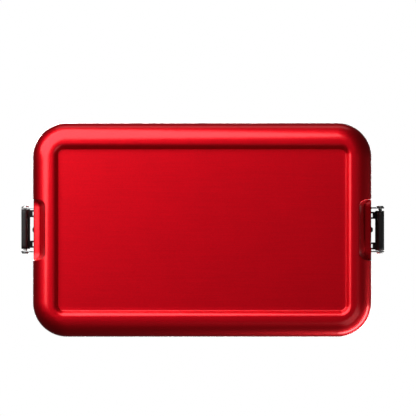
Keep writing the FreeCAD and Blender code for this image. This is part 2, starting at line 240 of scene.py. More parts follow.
def shell_tree():
    tree, b, size = new_tree("pressed_shell", {
        "Section": "Geometry", "Half Length": "Float", "Half Width": "Float",
        "Corner": "Float", "Scoop Half": "Float", "Scoop Corner": "Float",
        "Scoop End Slope": "Float", "Scoop Rim": "Float", "Corner Points": "Int",
        "End Cuts": "Int", "Side Cuts": "Int",
        "Outside": "Material", "Inside": "Material"})
    path = b.add("GeometryNodeCurvePrimitiveQuadrilateral", {"mode": "RECTANGLE"},
                 {"Width": 2 * size["Half Length"], "Height": 2 * size["Half Width"]})
    path = b.add("GeometryNodeFilletCurve", {"mode": "POLY"},
                 {"Curve": path, "Radius": size["Corner"],
                  "Count": size["Corner Points"]})
    place = b.add("GeometryNodeInputPosition")
    total = b.add("GeometryNodeAttributeDomainSize", {"component": "CURVE"},
                  {"Geometry": path})
    after = b.add("ShaderNodeMath", {"operation": "FLOORED_MODULO"},
                  {0: b.add("GeometryNodeInputIndex") + 1, 1: total})
    onward = b.add("GeometryNodeFieldAtIndex",
                   {"data_type": "FLOAT_VECTOR", "domain": "POINT"},
                   {"Index": after, "Value": place})
    run_x, run_y, _ = b.parts(b.vector("SUBTRACT", onward, place))
    cuts = (size["End Cuts"] * (abs(run_y) > size["Corner"])
            + size["Side Cuts"] * (abs(run_x) > size["Corner"]))
    path = b.add("GeometryNodeSubdivideCurve", {}, {"Curve": path, "Cuts": cuts})

    reach_y = size["Half Width"] - size["Corner"]
    reach = b.packed(size["Half Length"] - size["Corner"], reach_y, 1.0)
    centre = b.vector("MAXIMUM", place, b.scaled(reach, -1.0))
    centre = b.vector("MINIMUM", centre, reach)
    way_out = b.vector("NORMALIZE", b.vector("SUBTRACT", place, centre))
    centre_x, centre_y, _ = b.parts(centre)
    crowded = b.add("ShaderNodeFloatCurve", {"line": SCOOP_CROWD},
                    {"Value": abs(centre_y) / reach_y})
    centre = b.packed(centre_x, centre_y.sign() * crowded * reach_y)
    path = store(b, store(b, path, "way_out", way_out), "centre", centre)
    section = b.add("GeometryNodeMeshToCurve", {}, {"Mesh": size["Section"]})
    shell = b.add("GeometryNodeCurveToMesh", {},
                  {"Curve": path, "Profile Curve": section})

    centre = stored(b, "centre", "FLOAT_VECTOR")
    way_out = stored(b, "way_out", "FLOAT_VECTOR")
    out_x, _, _ = b.parts(way_out)
    _, along, _ = b.parts(centre)
    grow = stored(b, "grow")
    round_off = size["Scoop Corner"] + grow
    past = (abs(along) - size["Scoop Half"] - grow + round_off) / round_off
    bend = past.most(0.0).least(1.0)
    shallower = round_off * (1 - (1 - bend * bend) ** 0.5)
    beyond = (past - 1).most(0.0) * round_off / size["Scoop End Slope"]
    off_end = OFF_END * (1 - out_x * out_x)
    dent = stored(b, "scoop") - shallower - beyond - off_end
    inset = stored(b, "inset").most(dent, size["Scoop Rim"])
    tight = stored(b, "tight")
    corner_move = b.packed(tight, tight - stored(b, "pull"))
    spread = b.vector("MULTIPLY", b.vector("DIVIDE", centre, reach), corner_move)
    radius = size["Corner"] - inset - tight
    flat = b.vector("ADD", b.vector("ADD", centre, spread), b.scaled(way_out, radius))
    x, y, _ = b.parts(flat)
    shell = b.add("GeometryNodeSetPosition", {}, {
        "Geometry": shell, "Position": b.packed(x, y, stored(b, "height"))})
    shell = b.add("GeometryNodeMergeByDistance", {},
                  {"Geometry": shell, "Distance": WELD})
    inside = stored(b, "within") > 0.5
    closed_off(b, shell, (True, size["Outside"]), (inside, size["Inside"]))
    return tree

SHELL = shell_tree()
print("tree", SHELL.name, "has", len(SHELL.nodes), "nodes")

# %% [markdown]
# From a tree to a plain mesh
#
# A tree lives on a work object that carries the drawn section. Its inputs are
# set by identifier, the result is read back as a plain mesh, and the work object
# goes. The faces are turned outwards and the edges counted, so that a gap would
# show in the printout. Later pieces start from faces laid one by one instead of a
# tree, and use the same two steps: an object is made, and its modifiers are
# baked into it.

# %% Run a tree on drawn points
SECTION_NUMBERS = ("inset", "height", "tight", "pull", "scoop", "grow", "within")
PATH_NUMBERS = ("centre", "way_out")
SLIVER, CLIP_SLIVER = 1e-7, 1e-6  # shortest edges that are kept, in metres


def placed(name, data):
    """A new object in the scene for a mesh, a camera or a lamp."""
    piece = bpy.data.objects.new(name, data)
    bpy.context.scene.collection.objects.link(piece)
    return piece


def linked(name, shape):
    """A new object in the scene with the faces of a bmesh, which ends here."""
    mesh = bpy.data.meshes.new(name)
    shape.to_mesh(mesh)
    shape.free()
    return placed(name, mesh)


def evaluated(piece):
    """What a piece's modifiers make of it, as a mesh of its own."""
    bpy.context.view_layer.update()
    depsgraph = bpy.context.evaluated_depsgraph_get()
    mesh = bpy.data.meshes.new_from_object(piece.evaluated_get(depsgraph))
    piece.modifiers.clear()
    return mesh


def baked(piece):
    """Replace a piece's mesh by what its modifiers make of it."""
    piece.data = evaluated(piece)
    piece.data.name = piece.name


def made_plain(work, name):
    """The result of a tree as a plain closed mesh, its faces turned outwards."""
    mesh = evaluated(work)
    bpy.data.objects.remove(work)
    shape = bmesh.new()
    shape.from_mesh(mesh)
    bmesh.ops.dissolve_degenerate(shape, dist=SLIVER, edges=shape.edges[:])
    bmesh.ops.recalc_face_normals(shape, faces=shape.faces[:])
    triangles = sum(len(f.verts) - 2 for f in shape.faces)
    open_edges = sum(not e.is_manifold for e in shape.edges)
    shape.to_mesh(mesh)
    shape.free()
    mesh.name = name
    for spare in SECTION_NUMBERS + PATH_NUMBERS:
        if spare in mesh.attributes:
            mesh.attributes.remove(mesh.attributes[spare])
    print(name, "triangles", triangles, "open edges", open_edges)
    return placed(name, mesh)


def shaped(name, rows, tree, sizes):
    """Give rows of numbers, in millimetres, to a tree and keep what it makes."""
    mesh = bpy.data.meshes.new(name + "_drawn")
    mesh.from_pydata([(row["inset"] * MM, row["height"] * MM, 0) for row in rows],
                     [(i, i + 1) for i in range(len(rows) - 1)], [])
    for number in rows[0]:
        layer = mesh.attributes.new(number, "FLOAT", "POINT")
        unit = 1.0 if number == "within" else MM
        layer.data.foreach_set("value", [row[number] * unit for row in rows])
    work = placed(name + "_work", mesh)
    modifier = work.modifiers.new("shape", "NODES")
    modifier.node_group = tree
    for item in tree.interface.items_tree:
        if item.in_out == "INPUT" and item.name in sizes:
            modifier[item.identifier] = sizes[item.name]
    return made_plain(work, name)


def smoothed(mesh, sharp):
    """Smooth shading, except across edges that bend by more than sharp."""
    mesh.shade_smooth()
    mesh.set_sharp_from_angle(angle=sharp)


def settle(piece, body, slot, *nodes):
    """Hide the packed nodes a piece stands for and attach it to the body it rides on;
    slot, meant for its finish, is not used.
    """
    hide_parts(*nodes)
    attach(piece, body)

print("a section's numbers are", SECTION_NUMBERS)

# %% [markdown]
# Materials in plain terms
#
# Each finish is one Principled shader. What is the same all over is typed on
# its socket; what changes over the surface comes from noise on Object
# coordinates, so that it stays put when the piece moves. A noise's scale counts
# grains in a metre, so a scale of 1500 gives grains of two thirds of a millimetre.

# %% A helper that starts a finish
def finish_bench(name, **constants):
    """A material with its shader, its bench and its Object coordinates."""
    material = bpy.data.materials.new(name)
    material.use_nodes = True
    bench = Bench(material.node_tree)
    shader = material.node_tree.nodes["Principled BSDF"]
    for socket, value in constants.items():
        shader.inputs[socket.replace("_", " ")].default_value = value
    coords = bench.add("ShaderNodeTexCoord", out="Object")
    return material, bench, shader, coords


def join(bench, shader, **links):
    """Link wires to the shader's sockets, whose spaces are written as _."""
    for socket, wire in links.items():
        bench.tree.links.new(wire.socket, shader.inputs[socket.replace("_", " ")])


def noise(bench, coords, scale, detail=2.0, stretch=None):
    """Noise about one half, with scale grains in a metre."""
    if stretch:
        coords = bench.vector("MULTIPLY", coords, stretch)
    return bench.add("ShaderNodeTexNoise", {"noise_dimensions": "3D"}, {
        "Vector": coords, "Scale": scale, "Detail": detail})


def blend(bench, share, first, second):
    """Colour that goes from first to second as share goes from 0 to 1."""
    return bench.add("ShaderNodeMix", {"data_type": "RGBA"}, {
        0: share, 6: (*first, 1.0), 7: (*second, 1.0)}, out=2)


def bumped(bench, height, depth, strength=1.0):
    """Normal of a surface whose relief is height times depth, in metres."""
    return bench.add("ShaderNodeBump", {}, {
        "Strength": strength, "Distance": depth, "Height": height})

print("finishes start from", bpy.app.version_string)

# %% [markdown]
# Satin red coat
#
# The outside is aluminium under a clear red coat: it reflects like metal, but
# only red comes back, and the coat's own skin adds a soft white sheen. The
# sheen is wide, because the sheet was blasted before it was coated, and that
# leaves a grain finer than a millimetre which breaks the light a little. Under
# it the sheet's faint rolling lines still run along the box.

# %% The red coat
def red_coat():
    material, b, shader, co = finish_bench(
        "red_coat", Coat_Roughness=0.2, Coat_IOR=1.5, Metallic=1.0)
    grain = noise(b, co, 1500.0, 3.0)
    fine = noise(b, co, 5200.0, 1.0)
    rolled = noise(b, co, 1500.0, 2.0, stretch=(0.03, 1.0, 1.0))
    cloud = noise(b, co, 38.0, 3.0)
    share = cloud.ramp(0.3, 0.7, 0.2, 0.4) + (grain - 0.5) + (rolled - 0.5) * 0.6
    colour = blend(b, share, (0.89, 0.0018, 0.0125), (0.70, 0.0014, 0.0098))
    roughness = (0.47 + (grain - 0.5) * 0.14 + (rolled - 0.5) * 0.05
                 + (cloud - 0.5) * 0.02)
    relief = bumped(b, grain * 0.7 + fine * 0.3, 0.00003, 0.3)
    join(b, shader, Base_Color=colour, Roughness=roughness, Normal=relief,
         Coat_Weight=0.7 + (cloud - 0.5) * 0.1)
    return material

RED = red_coat()
print("made", RED.name)

# %% [markdown]
# Plain aluminium inside
#
# Inside, where food lies, the sheet is bare and satin. Drawing leaves faint
# upright streaks on the walls, so one noise is stretched along Z.

# %% Bare aluminium
def bare_aluminium():
    material, b, shader, co = finish_bench("bare_aluminium", Metallic=1.0)
    streak = noise(b, co, 900.0, 3.0, stretch=(1.0, 1.0, 0.04))
    cloud = noise(b, co, 60.0, 3.0)
    grain = noise(b, co, 2600.0, 2.0)
    colour = blend(b, cloud.ramp(0.3, 0.7),
                   (0.74, 0.745, 0.75), (0.66, 0.665, 0.67))
    join(b, shader, Base_Color=colour,
         Roughness=0.36 + (streak - 0.5) * 0.16 + (grain - 0.5) * 0.08,
         Normal=bumped(b, streak * 0.6 + grain * 0.4, 0.00002, 0.3))
    return material

BARE = bare_aluminium()
print("made", BARE.name)

# %% [markdown]
# The base pan
#
# Seen from below this is nearly the whole object: a wide rolled edge, a flat
# ring it stands on, a step up into the recessed panel, and a scoop in each
# short end so that a finger can get behind the clip. The section runs from the
# middle of the panel outwards over the roll, up the wall, over the curled rim
# and back along the inside.

# %% Sizes of the pressings, in millimetres
HALF = (99.0, 62.5)
CORNER = 20.0
SHEET = 1.0
BASE_RING, LID_RING = (10.4, 0.8), (7.6, 3.6)
DEPTH, SLOPE = 2.4, radians(50)
CREST_R, FOOT_R, PANEL_CORNER, PANEL_PULL = 3.6, 0.6, 3.4, 0.45
WALL, NECK, NECK_TOP, RIM, RIM_TOP = 37.3, 2.6, 40.8, 0.8, 43.6
SHOULDER_R, RIM_R, RIM_INNER_R, RIM_LIP = 1.2, 1.3, 0.8, 1.6
SCOOP_HALF, SCOOP_CORNER, SCOOP_RIM, SCOOP_END = 17.7, 4.4, 1.1, radians(10)
SCOOP_FOOT, SCOOP_LEAN = 7.1, radians(7.6)
SCOOP_LEDGE, SCOOP_RISE, SCOOP_HOLLOW = 23.0, radians(20), 1.6
SCOOP_TOP, NO_SCOOP = WALL - 4.0, -50.0
NECK_R, BEND_R, LIP_SUPPORT = 0.3, 0.5, 0.3
PANEL_CUTS, FOOT_SUPPORT = (HALF[1], 50.0, 36.0, 24.0), 2.5
LEDGE_CUTS = [22 + 0.13 * n for n in range(27)]
WALL_CUTS = [11.5, 13, 15, 17, 19, 20.5, 21.5, *LEDGE_CUTS, 26.2, 27.5, 30, 33]
LONG_RUN = 10.0
TIGHTENS_OVER, LEAST_CORNER = 0.4, 0.3
print("outline", HALF, "corner", CORNER)

# %% Section of the base
def scoop_depth(z, grow):
    """How far inside the outline the scoop's surface lies at this height.

    Its wall and its ledge meet in a smooth minimum, which hollows the corner.
    """
    wall = SCOOP_FOOT - z * tan(SCOOP_LEAN) + grow / cos(SCOOP_LEAN)
    wall_at_ledge = SCOOP_FOOT - SCOOP_LEDGE * tan(SCOOP_LEAN)
    shelf = SCOOP_LEDGE + wall_at_ledge * tan(SCOOP_RISE)
    ledge = (shelf - z) / tan(SCOOP_RISE) + grow / sin(SCOOP_RISE)
    near = max(SCOOP_HOLLOW - abs(wall - ledge), 0) / SCOOP_HOLLOW
    return min(wall, ledge) - near ** 3 * SCOOP_HOLLOW / 6


def rows(points, ring, within, grow=0.0, scooped=False, crest_tight=0.0):
    """Numbers for each point of a section, from its inset and height."""
    made = []
    foot = CORNER - PANEL_CORNER - crest_tight
    for inset, z in points:
        share = min(1.0, max(0.0, 1 + (inset - ring) / (TIGHTENS_OVER * ring)))
        tight, pull = crest_tight * share, PANEL_PULL * share
        if inset > foot:
            tight = CORNER - inset - max(LEAST_CORNER, PANEL_CORNER + foot - inset)
        if inset >= HALF[1]:
            tight, pull = CORNER - inset, 0.0
        dips = scooped and z < SCOOP_TOP
        made.append({
            "inset": inset, "height": z, "within": float(within), "grow": grow,
            "tight": tight, "pull": pull,
            "scoop": scoop_depth(z, grow) if dips else NO_SCOOP})
    return made


def face_corners(outer, ring, level, way, grow=0.0):
    """Corners of a pressed face from the panel's middle to its rolled edge."""
    roll, land = ring
    crest = outer + roll + land + (CREST_R - grow) * tan(SLOPE / 2)
    foot = crest + DEPTH / tan(SLOPE)
    floor_z = level + way * (DEPTH + grow)
    support = [(inset, floor_z, 0) for inset in (*PANEL_CUTS, foot + FOOT_SUPPORT)]
    return support + [
        (foot, floor_z, FOOT_R + grow),
        (crest, level + way * grow, CREST_R - grow),
        (outer + grow, level + way * grow, roll - grow)]


def divided_wall(points):
    """Cut the upright run, finely where the scoop's ledge crosses it."""
    made = [points[0]]
    for p, q in zip(points, points[1:]):
        if q.y - p.y > LONG_RUN:
            made += [Vector((p.x, z)) for z in WALL_CUTS]
        made.append(q)
    return made


def crest_tightness(outer, ring):
    """How much tighter the corner at the panel's foot is than an even inset's."""
    return CORNER - face_corners(outer, ring, 0, 1)[-3][0] - PANEL_CORNER


def base_section():
    lip, roof = (NECK + SHEET, RIM_TOP - RIM_LIP, 0), WALL - SHEET
    outer = rounded(face_corners(0, BASE_RING, 0, 1) + [
        (0, WALL, SHOULDER_R), (NECK, WALL, SHOULDER_R), (NECK, NECK_TOP, NECK_R),
        (RIM, NECK_TOP, RIM_R), (RIM, RIM_TOP, RIM_R),
        (NECK + SHEET, RIM_TOP, RIM_INNER_R), lip], FINE_STEP)
    inner = rounded(face_corners(0, BASE_RING, 0, 1, SHEET) + [
        (SHEET, roof, BEND_R), (NECK + SHEET, roof, BEND_R),
        (NECK + SHEET, lip[1] - LIP_SUPPORT, 0), lip])
    ring, tight = sum(BASE_RING), crest_tightness(0, BASE_RING)
    return (rows(divided_wall(outer), ring, False, 0.0, True, tight)
            + rows(divided_wall(inner)[::-1][1:], ring, True, SHEET, True, tight))

section = base_section()
print("base section has", len(section), "points")

# %% Sweep the base
SWEEP = {"Half Length": HALF[0] * MM, "Half Width": HALF[1] * MM,
         "Corner": CORNER * MM,
         "Scoop Half": SCOOP_HALF * MM, "Scoop Corner": SCOOP_CORNER * MM,
         "Scoop End Slope": tan(SCOOP_END), "Scoop Rim": SCOOP_RIM * MM,
         "Corner Points": 18, "Outside": RED, "Inside": BARE}
base = shaped("pressed_base", section, SHELL,
              {**SWEEP, "End Cuts": 120, "Side Cuts": 12})
settle(base, "base", "red_aluminium", "base_pan")

# %% [markdown]
# The lid
#
# The lid is taken to be pressed like the base, only shallower and without
# scoops, so the same tree sweeps a section that is turned over. Its edge is a
# plain cut, hidden in the seal.

# %% Sweep the lid
LID_TOP, SKIRT, EDGE_R = 64.0, 44.85, 0.25


def lid_section():
    edge = (RIM + SHEET / 2, SKIRT, 0)
    outer = rounded(face_corners(RIM, LID_RING, LID_TOP, -1)
                    + [(RIM, SKIRT, EDGE_R), edge], FINE_STEP)
    inner = rounded(face_corners(RIM, LID_RING, LID_TOP, -1, SHEET)
                    + [(RIM + SHEET, SKIRT, EDGE_R), edge])
    ring, tight = RIM + sum(LID_RING), crest_tightness(RIM, LID_RING)
    return (rows(outer, ring, False, crest_tight=tight)
            + rows(inner[::-1][1:], ring, True, crest_tight=tight))

lid = shaped("pressed_lid", lid_section(), SHELL,
             {**SWEEP, "End Cuts": 24, "Side Cuts": 24})
settle(lid, "lid", "red_aluminium", "lid_shell")

# %% [markdown]
# The seal
#
# A black silicone ring clips over the lid's edge with two short legs, and hangs
# a lip inside the rim. Its section is a closed line, so the same tree sweeps
# it; silicone is soft to the eye, dull, and picks up dust, which the paler
# patches of its finish stand for.

# %% Black silicone and the seal
def black_silicone():
    material, b, shader, co = finish_bench("black_silicone", Specular_IOR_Level=0.35)
    dust = noise(b, co, 240.0, 4.0)
    skin = noise(b, co, 4200.0, 2.0)
    colour = blend(b, dust.ramp(0.45, 0.75),
                   (0.011, 0.011, 0.012), (0.024, 0.024, 0.025))
    join(b, shader, Base_Color=colour, Roughness=0.62 + (skin - 0.5) * 0.2,
         Normal=bumped(b, skin, 0.00002, 0.4))
    return material

SILICONE = black_silicone()
SEAL_LOW, SEAL_LEG_TOP, SEAL_LIP_LOW = 43.65, 46.45, 40.65
OUTER_LEG, INNER_LEG, SEAL_LIP, SEAL_SEAM = (0.0, 0.8), (1.8, 2.6), (3.9, 4.7), 2.0
seal_corners = [
    (SEAL_SEAM, SEAL_LOW, 0), (OUTER_LEG[0], SEAL_LOW, 0.3),
    (OUTER_LEG[0], SEAL_LEG_TOP, 0.35), (OUTER_LEG[1], SEAL_LEG_TOP, 0.2),
    (OUTER_LEG[1], SKIRT, 0.1), (INNER_LEG[0], SKIRT, 0.1),
    (INNER_LEG[0], SEAL_LEG_TOP, 0.2), (INNER_LEG[1], SEAL_LEG_TOP, 0.25),
    (INNER_LEG[1], SKIRT, 0.3), (SEAL_LIP[1], SKIRT, 0.3),
    (SEAL_LIP[1], SEAL_LIP_LOW, 0.35), (SEAL_LIP[0], SEAL_LIP_LOW, 0.35),
    (SEAL_LIP[0], SEAL_LOW, 0.3), (SEAL_SEAM, SEAL_LOW, 0)]
seal_rows = rows(rounded(seal_corners), HALF[1], False)
seal = shaped("silicone_seal", seal_rows, SHELL,
              {**SWEEP, "End Cuts": 8, "Side Cuts": 12,
               "Outside": SILICONE, "Inside": SILICONE})
settle(seal, "lid", "black_silicone", "lid_seal")

# %% [markdown]
# Turned parts: rivets and hinge pins
#
# Each end has two rivets that hold a bracket to the lid and one pin that a clip
# swings on. All are round parts, so one tree spins a drawn profile round an
# axis, sets copies of it in a row and turns them to face along the box or
# across it. The profile's inset is the radius here.

# %% Geometry tree of turned parts
CREASE_R, TURNED_STEP = 0.1, 12.0


def turned_tree():
    tree, b, size = new_tree("turned_parts", {
        "Profile": "Geometry", "Sides": "Int", "Copies": "Int", "First": "Vector",
        "Step": "Vector", "Turn": "Vector", "Finish": "Material"})
    circle = b.add("GeometryNodeCurvePrimitiveCircle", {"mode": "RADIUS"},
                   {"Resolution": size["Sides"], "Radius": 1.0})
    circle = store(b, circle, "way_out", b.add("GeometryNodeInputPosition"))
    line = b.add("GeometryNodeMeshToCurve", {}, {"Mesh": size["Profile"]})
    part = b.add("GeometryNodeCurveToMesh", {},
                 {"Curve": circle, "Profile Curve": line})
    round_way = b.scaled(stored(b, "way_out", "FLOAT_VECTOR"), stored(b, "inset"))
    place = b.vector("ADD", round_way, b.packed(0.0, 0.0, stored(b, "height")))
    part = b.add("GeometryNodeSetPosition", {},
                 {"Geometry": part, "Position": place})
    part = b.add("GeometryNodeMergeByDistance", {},
                 {"Geometry": part, "Distance": WELD})
    row = b.add("GeometryNodeMeshLine", {"mode": "OFFSET"}, {
        "Count": size["Copies"], "Start Location": size["First"],
        "Offset": size["Step"]})
    turn = b.add("FunctionNodeEulerToRotation", {}, {"Euler": size["Turn"]})
    made = b.add("GeometryNodeInstanceOnPoints", {}, {
        "Points": row, "Instance": part, "Rotation": turn})
    closed_off(b, made, (True, size["Finish"]))
    return tree


def headed(head, shank, faces, rounds):
    """Corners (radius, height, rounding) of a shank between two round heads."""
    low, high, end = faces
    return [(0, 0, 0), (head, 0, rounds[0]), (head, low, CREASE_R),
            (shank, low, CREASE_R), (shank, high, CREASE_R), (head, high, CREASE_R),
            (head, end, rounds[1]), (0, end, 0)]


def turned(name, profile, sizes):
    """Spin a profile's corners into copies of a part."""
    drawn = [{"inset": p.x, "height": p.y} for p in rounded(profile, TURNED_STEP)]
    return shaped(name, drawn, TURNED, sizes)

TURNED = turned_tree()
print("tree", TURNED.name, "has", len(TURNED.nodes), "nodes")

# %% [markdown]
# Steels
#
# Three steels differ by how they were worked. The bracket is brushed sheet, with
# fine lines along the strip; a rivet is pressed and dull; a pin is drawn wire,
# bright, with faint lines along it.

# %% Brushed, pressed and drawn steel
def steel(name, tone, roughness, lines, depth):
    material, b, shader, co = finish_bench(name, Metallic=1.0)
    brush = noise(b, co, 2400.0, 3.0, stretch=lines)
    stain = noise(b, co, 150.0, 3.0)
    dark = tuple(0.82 * t for t in tone)
    colour = blend(b, stain.ramp(0.35, 0.75) * 0.6 + (brush - 0.5) * 0.5, tone, dark)
    join(b, shader, Base_Color=colour,
         Roughness=roughness + (brush - 0.5) * 0.18 + (stain - 0.5) * 0.08,
         Normal=bumped(b, brush, depth, 0.4))
    return material

BRUSHED = steel("brushed_stainless", (0.62, 0.62, 0.61), roughness=0.34,
                lines=(1.0, 0.05, 1.0), depth=0.00002)
PRESSED = steel("pressed_rivet_steel", (0.42, 0.42, 0.41), roughness=0.46,
                lines=(1.0, 1.0, 1.0), depth=0.00002)
DRAWN = steel("drawn_pin_steel", (0.68, 0.68, 0.67), roughness=0.24,
              lines=(1.0, 0.08, 1.0), depth=0.00001)
print("steels", BRUSHED.name, PRESSED.name, DRAWN.name)

# %% Rivets and pins at both ends
PIN_X, PIN_Z, PIN_END = 104.45, 51.4, 14.05
RIVET_X, RIVET_LOW, RIVET_STEP = 96.4, 49.1, 4.6
rivet_profile = headed(head=1.6, shank=0.9, faces=(0.8, 2.6, 3.8), rounds=(0.48, 1.08))
pin_profile = headed(head=2.1, shank=1.1, faces=(0.8, 27.3, 28.1), rounds=(0.6, 0.6))
for side, way in (("left", -1), ("right", 1)):
    rivets = turned(side + "_pressed_rivets", rivet_profile, {
        "Sides": 32, "Copies": 2, "Finish": PRESSED,
        "First": Vector((way * RIVET_X, 0, RIVET_LOW)) * MM,
        "Step": (0, 0, RIVET_STEP * MM), "Turn": (0, way * pi / 2, 0)})
    settle(rivets, "lid", "rivet_steel", side + "_rivets")
    pin = turned(side + "_drawn_pin", pin_profile, {
        "Sides": 40, "Copies": 1, "Finish": DRAWN,
        "First": Vector((way * PIN_X, -PIN_END, PIN_Z)) * MM,
        "Step": (0, 0, 0), "Turn": (-pi / 2, 0, 0)})
    settle(pin, "lid", "pin_steel", side + "_pin")

# %% [markdown]
# Brackets
#
# A bracket is a strip of sheet bent into a back plate and two ears. The packed
# solid already has that shape with knife edges, and cut sheet never has those.
# So a copy of it is merged, its flat faces are joined, and a bevel breaks the
# edges by about a tenth of a millimetre.

# %% Broken edges on the brackets
EDGE_BREAK, EDGE_ANGLE = 0.12, radians(35)
FLAT_ANGLE, BRACKET_SHARP = radians(1), radians(40)


def eased(node, name, material):
    """A copy of a packed node's mesh with its sharp edges broken."""
    shape = bmesh.new()
    shape.from_mesh(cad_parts[node].data)
    bmesh.ops.remove_doubles(shape, verts=shape.verts[:], dist=WELD)
    bmesh.ops.dissolve_limit(shape, angle_limit=FLAT_ANGLE, verts=shape.verts[:],
                             edges=shape.edges[:])
    piece = linked(name, shape)
    piece.data.materials.append(material)
    bevel = piece.modifiers.new("edge", "BEVEL")
    bevel.width, bevel.segments = EDGE_BREAK * MM, 2
    bevel.limit_method, bevel.angle_limit = "ANGLE", EDGE_ANGLE
    baked(piece)
    smoothed(piece.data, BRACKET_SHARP)
    print(name, "faces", len(piece.data.polygons))
    return piece

for side in ("left", "right"):
    settle(eased(side + "_bracket", side + "_bent_bracket", BRUSHED), "lid",
           "stainless_sheet", side + "_bracket")

# %% [markdown]
# Clips
#
# A clip is one moulding: a barrel round the pin, a plate that hangs down as a
# finger tab, a cross rib inside, and two forked claws that hook under the rim.
# Barrel, plate and rib share one outline, so they are lofted together from end
# to end; close to each end the outline shrinks a little, which rounds the edge
# as a mould does, and the tab's lower corners lift. The claws are cut and
# joined on with booleans, and the pin's bore is cut through last.

# %% Outline and loft of a clip
TAB_LOW, TAB_IN, TAB_OUT, TAB_R, TAB_START = 22.4, 102.75, 106.15, 1.3, 36.0
RIB_X, RIB_LOW, RIB_TOP = 101.4, 38.3, 43.1
BARREL_R, BARREL_RUNS, CLIP_STEP = 2.4, 28, 9.0
CLIP_FROM, CLIP_TO = -11.2, 12.2
END_R, CORNER_LIFT, LIFT_FROM = 0.45, 2.2, 30.0
END_CUTS = [0, 0.03, 0.1, 0.2, 0.32, END_R, 0.8, 1.2, 1.6, CORNER_LIFT]


def clip_outline():
    """Closed outline of barrel, plate and rib in X and Z, without its last point."""
    reach = (TAB_OUT - TAB_IN) / 2
    drop = sqrt(BARREL_R ** 2 - reach ** 2)
    points = rounded([
        (TAB_OUT, TAB_START, 0), (TAB_OUT, TAB_LOW, TAB_R), (TAB_IN, TAB_LOW, TAB_R),
        (TAB_IN, RIB_LOW, 0.3), (RIB_X, RIB_LOW, 0.35), (RIB_X, RIB_TOP, 0.4),
        (TAB_IN, RIB_TOP + TAB_IN - RIB_X, 0.6), (TAB_IN, PIN_Z - drop, 0)], CLIP_STEP)
    start = Vector((-reach, -drop))
    turn = 2 * pi - 2 * Vector((0, -1)).angle(start)
    centre = Vector((PIN_X, PIN_Z))
    points += [centre + Matrix.Rotation(-turn * n / BARREL_RUNS, 2) @ start
               for n in range(1, BARREL_RUNS + 1)]
    return points


def round_drop(radius, depth):
    """How far a quarter round stands back at this depth from the end."""
    return radius - sqrt(radius ** 2 - (radius - min(depth, radius)) ** 2)


def lofted_clip(name):
    """The outline carried from end to end, with rounded ends and lifted corners."""
    outline = clip_outline()
    count = len(outline)
    inward = []
    for i in range(count):
        along = (outline[(i + 1) % count] - outline[i - 1]).normalized()
        inward.append(Vector((along.y, -along.x)))
    stations = ([(CLIP_FROM + d, d) for d in END_CUTS]
                + [(CLIP_TO - d, d) for d in reversed(END_CUTS)])
    shape = bmesh.new()
    rings = []
    for y, depth in stations:
        ring = []
        for p, way in zip(outline, inward):
            x, z = p + way * round_drop(END_R, depth)
            share = max(0.0, (LIFT_FROM - z) / (LIFT_FROM - TAB_LOW))
            z += share * round_drop(CORNER_LIFT, depth)
            ring.append(shape.verts.new((x * MM, y * MM, z * MM)))
        rings.append(ring)
    for a, c in zip(rings, rings[1:]):
        for i in range(count):
            j = (i + 1) % count
            shape.faces.new((a[i], a[j], c[j], c[i]))
    shape.faces.new(rings[0])
    shape.faces.new(rings[-1])
    bmesh.ops.recalc_face_normals(shape, faces=shape.faces[:])
    return linked(name, shape)

right_clip = lofted_clip("right_moulded_clip")
print("clip loft has", len(right_clip.data.polygons), "faces")

# %% Claws and bore, joined and cut
CLAW_MIDDLES, CLAW_WIDTH, SLOT_WIDTH = (-8.5, 9.5), 4.2, 2.2
CLAW_TIP, CLAW_BEND, CLAW_IN, CLAW_TOP = 96.7, 99.3, 103.1, 40.5
CLAW_CUT, CLAW_SOFT, CLAW_ROOT_TOP = 0.5, 0.18, RIB_TOP - 0.3
SLOT_OPEN, SLOT_ROOT, SLOT_LOW, SLOT_TOP = 90.0, 99.9, 30.0, 50.0
BORE_R, BORE_SIDES, BORE_LENGTH = 1.16, 40, 4 * PIN_END
claw_side = [(CLAW_TIP + CLAW_CUT, RIB_LOW), (CLAW_IN, RIB_LOW),
             (CLAW_IN, CLAW_ROOT_TOP), (RIB_X, CLAW_ROOT_TOP),
             (CLAW_BEND, CLAW_TOP), (CLAW_TIP, CLAW_TOP),
             (CLAW_TIP, RIB_LOW + CLAW_CUT)]
slot_side = [(SLOT_OPEN, SLOT_LOW), (SLOT_ROOT, SLOT_LOW),
             (SLOT_ROOT, SLOT_TOP), (SLOT_OPEN, SLOT_TOP)]


def bars(name, side, width):
    """One upright prism of the side outline at each claw."""
    shape = bmesh.new()
    for middle in CLAW_MIDDLES:
        start = (middle - width / 2) * MM
        face = shape.faces.new(
            [shape.verts.new((x * MM, start, z * MM)) for x, z in side])
        moved = bmesh.ops.extrude_face_region(shape, geom=[face])["geom"]
        far_end = [v for v in moved if isinstance(v, bmesh.types.BMVert)]
        bmesh.ops.translate(shape, vec=(0, width * MM, 0), verts=far_end)
    bmesh.ops.recalc_face_normals(shape, faces=shape.faces[:])
    return linked(name, shape)


def bore():
    """A round bar where the pin runs, longer than the clip."""
    shape = bmesh.new()
    place = Matrix.Translation((PIN_X * MM, 0, PIN_Z * MM))
    bmesh.ops.create_cone(
        shape, cap_ends=True, segments=BORE_SIDES, radius1=BORE_R * MM,
        radius2=BORE_R * MM, depth=BORE_LENGTH * MM,
        matrix=place @ Matrix.Rotation(pi / 2, 4, "X"))
    return linked("bore", shape)


def combine(piece, other, operation):
    """Join another piece to this one or cut it away; the other one goes."""
    cut = piece.modifiers.new("cut", "BOOLEAN")
    cut.operation, cut.object, cut.solver = operation, other, "EXACT"
    baked(piece)
    bpy.data.objects.remove(other)

